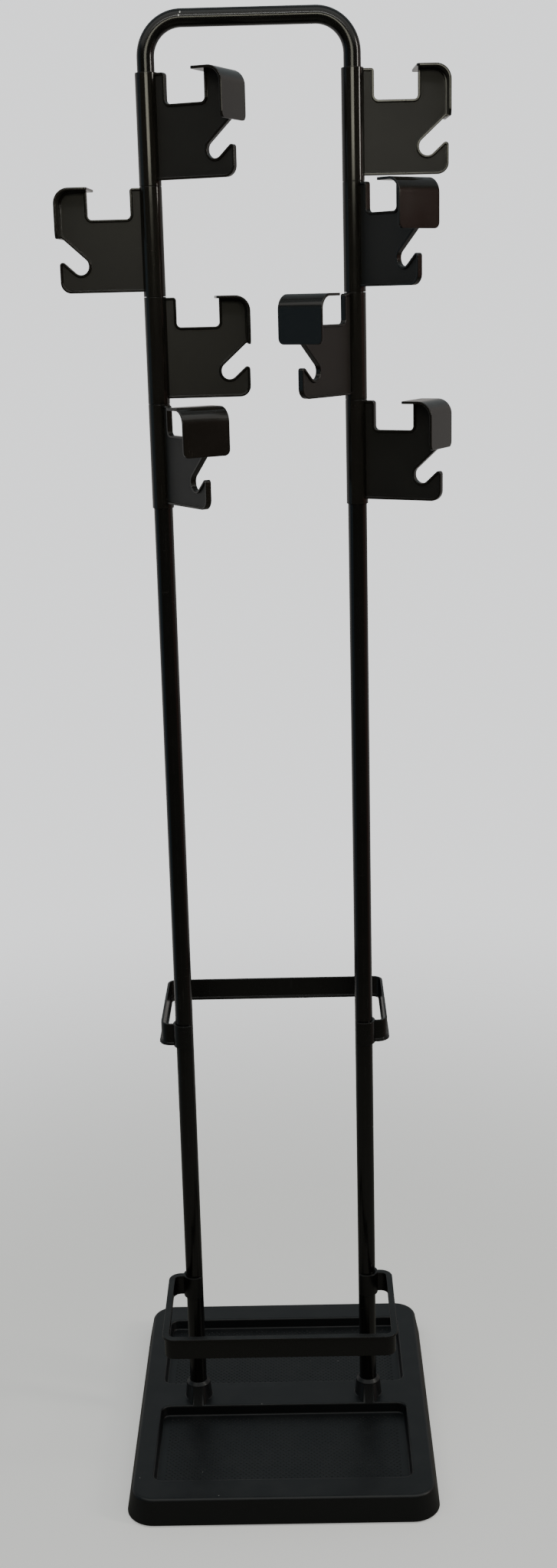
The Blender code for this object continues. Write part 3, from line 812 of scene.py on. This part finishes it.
def paint_chips():
    """Two small chips down to bare steel, on the upper front of the bow just past its left bend."""
    tree, _, result = shader_group("paint_chips", (), "Chip")
    place = tree.nodes.new("ShaderNodeTexCoord").outputs["Object"]
    ragged = number(tree, "MULTIPLY", noise(tree, place, CHIP_EDGE_SCALE, CHIP_EDGE_DETAIL), CHIP_RAGGED)
    chips = 0.0
    for x, rise, wide, tall in CHIPS:
        centre = (x, -bow_radius * math.cos(rise), bow_level + bow_radius * math.sin(rise))
        offset = shader_node(tree, "ShaderNodeVectorMath", {0: place, 1: centre}, operation="SUBTRACT")
        shares = {0: offset.outputs["Vector"], 1: (wide, tall, tall)}
        across = shader_node(tree, "ShaderNodeVectorMath", shares, operation="DIVIDE")
        reach = number(tree, "ADD", vector_length(tree, across.outputs["Vector"]), ragged)
        chips = number(tree, "MAXIMUM", chips, number(tree, "LESS_THAN", reach, 1.0))
    tree.links.new(chips, result)
    return tree


def chipped_enamel():
    material = black_enamel.copy()
    material.name = "chipped_enamel"
    tree = material.node_tree
    shader = tree.nodes["Principled BSDF"]
    painted = shader.inputs["Base Color"].links[0].from_socket
    chip = shader_node(tree, "ShaderNodeGroup", node_tree=paint_chips()).outputs["Chip"]
    tree.links.new(mixed_colour(tree, chip, painted, CHIP_COLOUR), shader.inputs["Base Color"])
    return material


bow = add_piece("bow_tube", bow_mesh(), chipped_enamel())
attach(bow, "stand")
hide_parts("top_bow")


# Hooks
# Eight mouldings in glossy brown-black plastic, four on each leg of the bow, turn on their sleeves.
# A thin web with a raised rim carries a hanger notch, a strap slot and a broad bent flap over its end.

SLEEVE_RADIUS = 0.0125
SLEEVE_EDGE = 0.0005
WEB_HALF = 0.0015
WEB_TOP_DROP = 0.001
RIM_WIDTH = 0.0026
RIM_HALF = 0.0035
RIM_EDGE = 0.0006
RIM_FILLET = 0.0005
RIM_CORNER = 0.0033
POST_EDGE = 0.0236
NOTCH_DEPTH = 0.034
NOTCH_CORNER = 0.005
ARM_EDGE = 0.0722
HOOK_REACH = 0.106
WEB_LIFT = 0.0057
FLAP_THICKNESS = 0.003
FLAP_WIDTH = 0.060
FLAP_HEIGHT = 0.054
FLAP_BEND = 0.017
FLAP_LIP = 0.004
FLAP_CORNER = 0.007
FLAP_LIP_CORNER = 0.004
FLAP_COVER = 0.003
FLAP_EDGE = 0.0008
FLAP_EDGE_SHARE = 0.98
SLOT_SLOPE = math.radians(42)
SLOT_REACH = 0.0329
SLOT_RADIUS = 0.0092
SLOT_SHOULDER = 0.0092
SLOT_STRAIGHT = 0.0006
HEEL_RADIUS = 0.012
WEB_MATT = 0.33
WEB_FACING = 0.99
WEB_TOLERANCE = 1.01
HOOK_ANGLES = {"left": (-24, 178, 5, -57), "right": (2, -50, -127, -27)}
OUTLINE_STEPS = 10
SECTION_STEPS = 4

hook_low, hook_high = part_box("hook_left_1")
hook_length = hook_high.z - hook_low.z
bore_radius = bow_radius + SEAT_GAP


def hook_outline():
    flap_centre = HOOK_REACH - FLAP_THICKNESS / 2
    slot_back = HOOK_REACH - SLOT_REACH
    slope_start = FLAP_HEIGHT - FLAP_COVER
    shoulder = slope_start + (flap_centre - slot_back) * math.tan(SLOT_SLOPE)
    half_turn = (math.pi / 2 - SLOT_SLOPE) / 2
    slot_centre = shoulder + SLOT_SHOULDER * math.tan(half_turn) + SLOT_STRAIGHT
    slot_corner = slot_centre + SLOT_RADIUS / math.tan(half_turn)
    tip = slot_corner - SLOT_REACH * math.tan(SLOT_SLOPE)
    bottom = hook_length - WEB_LIFT
    depths = [
        (0, WEB_TOP_DROP, 0),
        (POST_EDGE, WEB_TOP_DROP, RIM_CORNER),
        (POST_EDGE, NOTCH_DEPTH, NOTCH_CORNER),
        (ARM_EDGE, NOTCH_DEPTH, NOTCH_CORNER),
        (ARM_EDGE, FLAP_THICKNESS / 2, 0),
        (flap_centre, FLAP_THICKNESS / 2, FLAP_BEND - FLAP_THICKNESS / 2),
        (flap_centre, slope_start, 0),
        (slot_back, shoulder, SLOT_SHOULDER),
        (slot_back, slot_corner, SLOT_RADIUS),
        (HOOK_REACH, tip, RIM_CORNER),
        (HOOK_REACH, bottom, HEEL_RADIUS),
        (0, bottom, 0),
    ]
    corners = [(reach, hook_length - depth, radius) for reach, depth, radius in depths]
    return rounded_outline(corners, OUTLINE_STEPS)


def arc(centre, radius, start, end):
    """Points (inset, height) on an arc, by its centre and its two angles."""
    angles = [start + (end - start) * step / SECTION_STEPS for step in range(SECTION_STEPS + 1)]
    return [(centre[0] + radius * math.cos(a), centre[1] + radius * math.sin(a)) for a in angles]


def hook_web():
    """The flat web, with a rim raised on both sides all round its edge. Every edge of the rim is rounded."""
    outline = hook_outline()
    steps = side_steps(outline, closed=True)
    half_section = arc((RIM_WIDTH + RIM_FILLET, WEB_HALF + RIM_FILLET), RIM_FILLET, -math.pi / 2, -math.pi)
    half_section += arc((RIM_WIDTH - RIM_EDGE, RIM_HALF - RIM_EDGE), RIM_EDGE, 0, math.pi / 2)
    half_section += arc((RIM_EDGE, RIM_HALF - RIM_EDGE), RIM_EDGE, math.pi / 2, math.pi)
    section = half_section + [(inset, -height) for inset, height in reversed(half_section)]
    loops = []
    for inset, height in section:
        points = [point - step * inset for point, step in zip(outline, steps)]
        loops.append([Vector((point.x, height, point.y)) for point in points])
    return loft(loops)


def flap_sample(distance, corner):
    """How far a flap's half width and half thickness draw in at a distance from one of its ends."""
    width = corner - math.sqrt(max(0.0, corner**2 - (corner - min(distance, corner)) ** 2))
    edge = FLAP_EDGE - math.sqrt(max(0.0, FLAP_EDGE**2 - (FLAP_EDGE - min(distance, FLAP_EDGE)) ** 2))
    return FLAP_WIDTH / 2 - width, FLAP_THICKNESS / 2 - edge


def hook_flap():
    """The bent strip over the end of the hook: a lip over the notch, a bend, and a broad outer face."""
    top = hook_length - FLAP_THICKNESS / 2
    face = HOOK_REACH - FLAP_THICKNESS / 2
    bend = FLAP_BEND - FLAP_THICKNESS / 2
    path = []
    sizes = []
    for _, rise in rounding(FLAP_LIP_CORNER, OUTLINE_STEPS):
        path.append(Vector((ARM_EDGE - FLAP_LIP + rise, top)))
        sizes.append(flap_sample(rise, FLAP_LIP_CORNER))
    for inset, drop in rounding(bend, OUTLINE_STEPS):
        path.append(Vector((face - inset, top - drop)))
        sizes.append((FLAP_WIDTH / 2, FLAP_THICKNESS / 2))
    for _, rise in reversed(rounding(FLAP_CORNER, OUTLINE_STEPS)):
        path.append(Vector((face, hook_length - FLAP_HEIGHT + rise)))
        sizes.append(flap_sample(rise, FLAP_CORNER))
    loops = []
    for point, step, (half_width, half_thickness) in zip(path, side_steps(path), sizes):
        edge = min(FLAP_EDGE, half_thickness * FLAP_EDGE_SHARE)
        corners = [(half_width, half_thickness), (-half_width, half_thickness)]
        corners += [(-half_width, -half_thickness), (half_width, -half_thickness)]
        section = rounded_outline([(across, high, edge) for across, high in corners], SECTION_STEPS)
        loops.append([Vector((point.x + step.x * s.y, s.x, point.y + step.y * s.y)) for s in section])
    return loft(loops)


def hook_sleeve():
    lower = [(SLEEVE_RADIUS - inset, rise) for inset, rise in rounding(SLEEVE_EDGE, SECTION_STEPS)]
    upper = [(radius, hook_length - z) for radius, z in reversed(lower)]
    return turned(lower + upper)


def hook_bore():
    flare = bore_radius + SLEEVE_EDGE
    profile = [(flare, -CUT_PAST), (flare, 0), (bore_radius, SLEEVE_EDGE)]
    profile += [(radius, hook_length - z) for radius, z in reversed(profile)]
    return turned(profile)


def mark_web(mesh):
    """Marks the two flat faces of the web, which the mould leaves matt."""
    mark = mesh.attributes.new("matt", "FLOAT", "FACE")
    for face in mesh.polygons:
        flat = abs(face.normal.y) > WEB_FACING and abs(face.center.y) < WEB_HALF * WEB_TOLERANCE
        mark.data[face.index].value = 1.0 if flat else 0.0


hook_plastic = rack_finish(
    "hook_plastic",
    colours=(
        (0.0096, 0.0087, 0.0071),
        (0.0136, 0.0123, 0.0102),
        (0.022, 0.020, 0.017),
        (0.024, 0.021, 0.018),
    ),
    gloss=(0.10, 0.16),
    tone=(26.0, 0.3),
    grain=(700.0, 0.000002),
    scuff=(500.0, 0.24),
    dust=(0.03, 0.003),
    wear=0.3,
    matt=WEB_MATT,
)
hook_shape = combine(hook_web(), "UNION", [hook_sleeve(), hook_flap()])
hook_shape = combine(hook_shape, "DIFFERENCE", [hook_bore()])
mark_web(hook_shape)
for side, x in (("left", -pole_x), ("right", pole_x)):
    for count, angle in enumerate(HOOK_ANGLES[side], start=1):
        node = f"hook_{side}_{count}"
        foot_of_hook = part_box(node)[0].z
        place = (x, 0, foot_of_hook)
        hook = add_piece(f"{node}_moulding", hook_shape, hook_plastic, place, (0, 0, math.radians(angle)))
        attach(hook, node)
        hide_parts(node)


# Umbrella rings
# Two satin black mouldings clip round both poles: a band bent round three sides, beaded along one edge.
# The upper one reaches to the rear. The lower one, the same moulding turned over, reaches to the front.

RING_HEIGHT = 0.028
RING_THICKNESS = 0.003
RING_BEAD_WIDTH = 0.008
RING_BEAD_HEIGHT = 0.003
RING_EDGE = 0.0007
RING_FILLET = 0.0009
RING_CORNER = 0.0115
CLIP_WALL = 0.003
CLIP_MOUTH = math.radians(100)
CLIP_EDGE = 0.0006
CLIP_STEPS = 48
TIP_STEPS = 8

ring_low, ring_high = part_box("upper_umbrella_ring")
clip_half = (ring_high.z - ring_low.z) / 2
arm_x = ring_high.x - RING_BEAD_WIDTH / 2
ring_reach = ring_high.y - RING_BEAD_WIDTH / 2


def clip_tip(end, half_sweep, radius):
    """The points round one tip of a clip, from its outer face to its inner one."""
    middle = radius * Vector((math.cos(half_sweep), end * math.sin(half_sweep)))
    angles = [end * (half_sweep + math.pi * step / TIP_STEPS) for step in range(1, TIP_STEPS)]
    return [middle + CLIP_WALL / 2 * Vector((math.cos(a), math.sin(a))) for a in angles]


def ring_clip(side):
    """A snap clip round one pole, open towards the other pole, with every edge rounded."""
    inner = pole_radius + SEAT_GAP
    outer = inner + CLIP_WALL
    half_sweep = math.pi - CLIP_MOUTH / 2
    turns = [half_sweep * (2 * step / CLIP_STEPS - 1) for step in range(CLIP_STEPS + 1)]
    outline = [Vector((outer * math.cos(turn), outer * math.sin(turn))) for turn in turns]
    outline += clip_tip(1, half_sweep, (inner + outer) / 2)
    outline += [Vector((inner * math.cos(turn), inner * math.sin(turn))) for turn in reversed(turns)]
    outline += reversed(clip_tip(-1, half_sweep, (inner + outer) / 2))
    steps = side_steps(outline, closed=True)
    rows = []
    for inset, rise in rounding(CLIP_EDGE, RIM_STEPS):
        rows.append(([point + step * inset for point, step in zip(outline, steps)], rise - clip_half))
    rows += [(points, -z) for points, z in reversed(rows)]
    return loft([[Vector((side * (pole_x + p.x), side * p.y, z)) for p in points] for points, z in rows])


def ring_section():
    low = -RING_HEIGHT / 2
    bead = RING_BEAD_WIDTH / 2
    web = RING_THICKNESS / 2
    return rounded_outline(
        [
            (-bead, low, RING_EDGE),
            (bead, low, RING_EDGE),
            (bead, low + RING_BEAD_HEIGHT, RING_EDGE),
            (web, low + RING_BEAD_HEIGHT, RING_FILLET),
            (web, -low, RING_EDGE),
            (-web, -low, RING_EDGE),
            (-web, low + RING_BEAD_HEIGHT, RING_FILLET),
            (-bead, low + RING_BEAD_HEIGHT, RING_EDGE),
        ],
        SECTION_STEPS,
    )


def ring_mesh():
    join_x = pole_x + pole_radius + SEAT_GAP + CLIP_WALL / 2
    corner = min(RING_CORNER, arm_x - join_x - CLIP_WALL)
    path = rounded_outline(
        [
            (join_x, 0, 0),
            (arm_x, 0, corner),
            (arm_x, ring_reach, RING_CORNER),
            (-arm_x, ring_reach, RING_CORNER),
            (-arm_x, 0, corner),
            (-join_x, 0, 0),
        ],
        CORNER_STEPS,
    )
    section = ring_section()
    loops = []
    for point, step in zip(path, side_steps(path)):
        loops.append([Vector((point.x + step.x * s.x, point.y + step.y * s.x, s.y)) for s in section])
    return combine(loft(loops), "UNION", [ring_clip(1), ring_clip(-1)])


ring_plastic = rack_finish(
    "ring_plastic",
    colours=(
        (0.0036, 0.0038, 0.0036),
        (0.0054, 0.0057, 0.0055),
        (0.016, 0.016, 0.016),
        (0.020, 0.020, 0.020),
    ),
    gloss=(0.22, 0.32),
    tone=(18.0, 0.3),
    grain=(900.0, 0.000006),
    scuff=(420.0, 0.25),
    dust=(0.04, 0.003),
    wear=0.4,
)
ring_shape = ring_mesh()
for where, turn in (("upper", 0.0), ("lower", math.pi)):
    node = f"{where}_umbrella_ring"
    low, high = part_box(node)
    place = (0, 0, (low.z + high.z) / 2)
    ring = add_piece(f"{where}_ring_moulding", ring_shape, ring_plastic, place, (turn, 0, 0))
    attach(ring, node)
    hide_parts(node)


# Floor, light and camera
# A plain pale floor fades out into a plain pale surround, with soft studio light.
# The camera stands where the photograph was taken from.

FLOOR_RADIUS = 2.2
FLOOR_COLOUR = (0.93, 0.92, 0.89)
FLOOR_BOUNCE = (0.30, 0.285, 0.25)
FLOOR_GLOW = (0.36, 0.36, 0.35)
FLOOR_UNLIT = (0.0, 0.0, 0.0)
FLOOR_ROUGHNESS = 0.9
FLOOR_FADE_START = 0.45
SURROUND_COLOUR = (0.86, 0.87, 0.88)
SURROUND_STRENGTH = 1.6
ROOM_FRONT = (0.078, 0.074, 0.062)
ROOM_LEFT = (0.15, 0.22, 0.27)
ROOM_RIGHT = (0.26, 0.14, 0.12)
ROOM_REAR_LEFT = (0.50, 0.49, 0.48)
ROOM_REAR_RIGHT = (0.38, 0.36, 0.345)
ROOM_ABOVE = (0.24, 0.27, 0.28)
ROOM_LEFT_RANGE = (-0.84, -0.97)
ROOM_RIGHT_RANGE = (0.86, 0.98)
ROOM_REAR_BLEND = (-0.6, 0.6)
ROOM_REAR_RANGE = (0.05, 0.40)
ROOM_ABOVE_RANGE = (0.45, 0.70)
ROOM_LEAN = 0.3
CAMERA_PLACE = (0.0403, -2.1127, 1.4590)
CAMERA_YAW = math.radians(-0.737)
CAMERA_PITCH = math.radians(15.294)
CAMERA_ROLL = math.radians(-1.408)
CAMERA_LENS = 41.31
CAMERA_SENSOR = 36.0


def pale_floor():
    material = bpy.data.materials.new("pale_floor")
    material.use_nodes = True
    tree = material.node_tree
    shader = tree.nodes["Principled BSDF"]
    rays = tree.nodes.new("ShaderNodeLightPath")
    colour = mixed_colour(tree, rays.outputs["Is Camera Ray"], FLOOR_BOUNCE, FLOOR_COLOUR)
    tree.links.new(colour, shader.inputs["Base Color"])
    glow = mixed_colour(tree, rays.outputs["Is Camera Ray"], FLOOR_UNLIT, FLOOR_GLOW)
    tree.links.new(glow, shader.inputs["Emission Color"])
    shader.inputs["Emission Strength"].default_value = 1.0
    shader.inputs["Roughness"].default_value = FLOOR_ROUGHNESS
    place = tree.nodes.new("ShaderNodeTexCoord").outputs["Object"]
    cover = spread(tree, vector_length(tree, place), FLOOR_FADE_START, FLOOR_RADIUS, start=1.0, end=0.0)
    tree.links.new(cover, shader.inputs["Alpha"])
    return material


floor_mesh = bpy.data.meshes.new("floor")
floor_shape = bmesh.new()
bmesh.ops.create_circle(floor_shape, cap_ends=True, radius=FLOOR_RADIUS, segments=FINE_SIDES * 2)
floor_shape.to_mesh(floor_mesh)
floor_shape.free()
floor_mesh.materials.append(pale_floor())
floor = bpy.data.objects.new("floor", floor_mesh)
bpy.context.scene.collection.objects.link(floor)

world = bpy.data.worlds.new("studio")
bpy.context.scene.world = world
world.use_nodes = True
sky = world.node_tree
surround = sky.nodes["Background"]
surround.inputs["Color"].default_value = (*SURROUND_COLOUR, OPAQUE)
surround.inputs["Strength"].default_value = SURROUND_STRENGTH
outward = sky.nodes.new("ShaderNodeTexCoord").outputs["Generated"]
across, along, upward = shader_node(sky, "ShaderNodeSeparateXYZ", {"Vector": outward}).outputs
left = mixed_colour(sky, spread(sky, across, *ROOM_LEFT_RANGE), ROOM_FRONT, ROOM_LEFT)
sides = mixed_colour(sky, spread(sky, across, *ROOM_RIGHT_RANGE), left, ROOM_RIGHT)
behind = mixed_colour(sky, spread(sky, across, *ROOM_REAR_BLEND), ROOM_REAR_LEFT, ROOM_REAR_RIGHT)
rear = mixed_colour(sky, spread(sky, along, *ROOM_REAR_RANGE), sides, behind)
overhead = number(sky, "ADD", upward, number(sky, "MULTIPLY", along, ROOM_LEAN))
above = mixed_colour(sky, spread(sky, overhead, *ROOM_ABOVE_RANGE), rear, ROOM_ABOVE)
room = shader_node(sky, "ShaderNodeBackground", {"Color": above, "Strength": 1.0})
seen = sky.nodes.new("ShaderNodeLightPath").outputs["Is Camera Ray"]
shaders = {"Fac": seen, 1: room.outputs["Background"], 2: surround.outputs["Background"]}
either = shader_node(sky, "ShaderNodeMixShader", shaders)
sky.links.new(either.outputs["Shader"], sky.nodes["World Output"].inputs["Surface"])


def softbox(name, place, aim, size, power, colour, spread_angle=180):
    """A rectangular soft light at a place, aimed at a point, with its spread narrowed to an angle."""
    light = bpy.data.lights.new(name, "AREA")
    light.shape = "RECTANGLE"
    light.size, light.size_y = size
    light.energy = power
    light.spread = math.radians(spread_angle)
    light.color = colour
    lamp = bpy.data.objects.new(name, light)
    lamp.location = place
    lamp.rotation_euler = (Vector(aim) - Vector(place)).to_track_quat("-Z", "Y").to_euler()
    bpy.context.scene.collection.objects.link(lamp)


softbox(
    "ceiling",
    place=(0.0, -1.35, 2.6),
    aim=(0.0, -1.35, 0.0),
    size=(4.4, 2.5),
    power=25.6,
    colour=(1.0, 0.99, 0.95),
)
softbox(
    "front_window",
    place=(0.0, -2.3, 1.88),
    aim=(0.0, 0.0, 1.88),
    size=(1.2, 0.32),
    power=1.0,
    colour=(1.0, 0.98, 0.80),
    spread_angle=70,
)
softbox(
    "side_window",
    place=(3.46, -0.99, 2.45),
    aim=(0.0, 0.0, 2.45),
    size=(0.5, 1.4),
    power=28.0,
    colour=(1.0, 0.97, 0.90),
)
softbox(
    "high_strip",
    place=(0.0, -1.6, 2.5),
    aim=(0.0, 0.0, 1.5),
    size=(2.4, 0.10),
    power=0.67,
    colour=(1.0, 1.0, 0.97),
    spread_angle=50,
)

view = bpy.data.cameras.new("camera")
view.lens = CAMERA_LENS
view.sensor_width = CAMERA_SENSOR
camera = bpy.data.objects.new("camera", view)
turn = Matrix.Rotation(-CAMERA_YAW, 4, "Z")
tilt = Matrix.Rotation(math.pi / 2 - CAMERA_PITCH, 4, "X")
roll = Matrix.Rotation(CAMERA_ROLL, 4, "Z")
camera.matrix_world = Matrix.Translation(CAMERA_PLACE) @ turn @ tilt @ roll
bpy.context.scene.collection.objects.link(camera)
bpy.context.scene.camera = camera
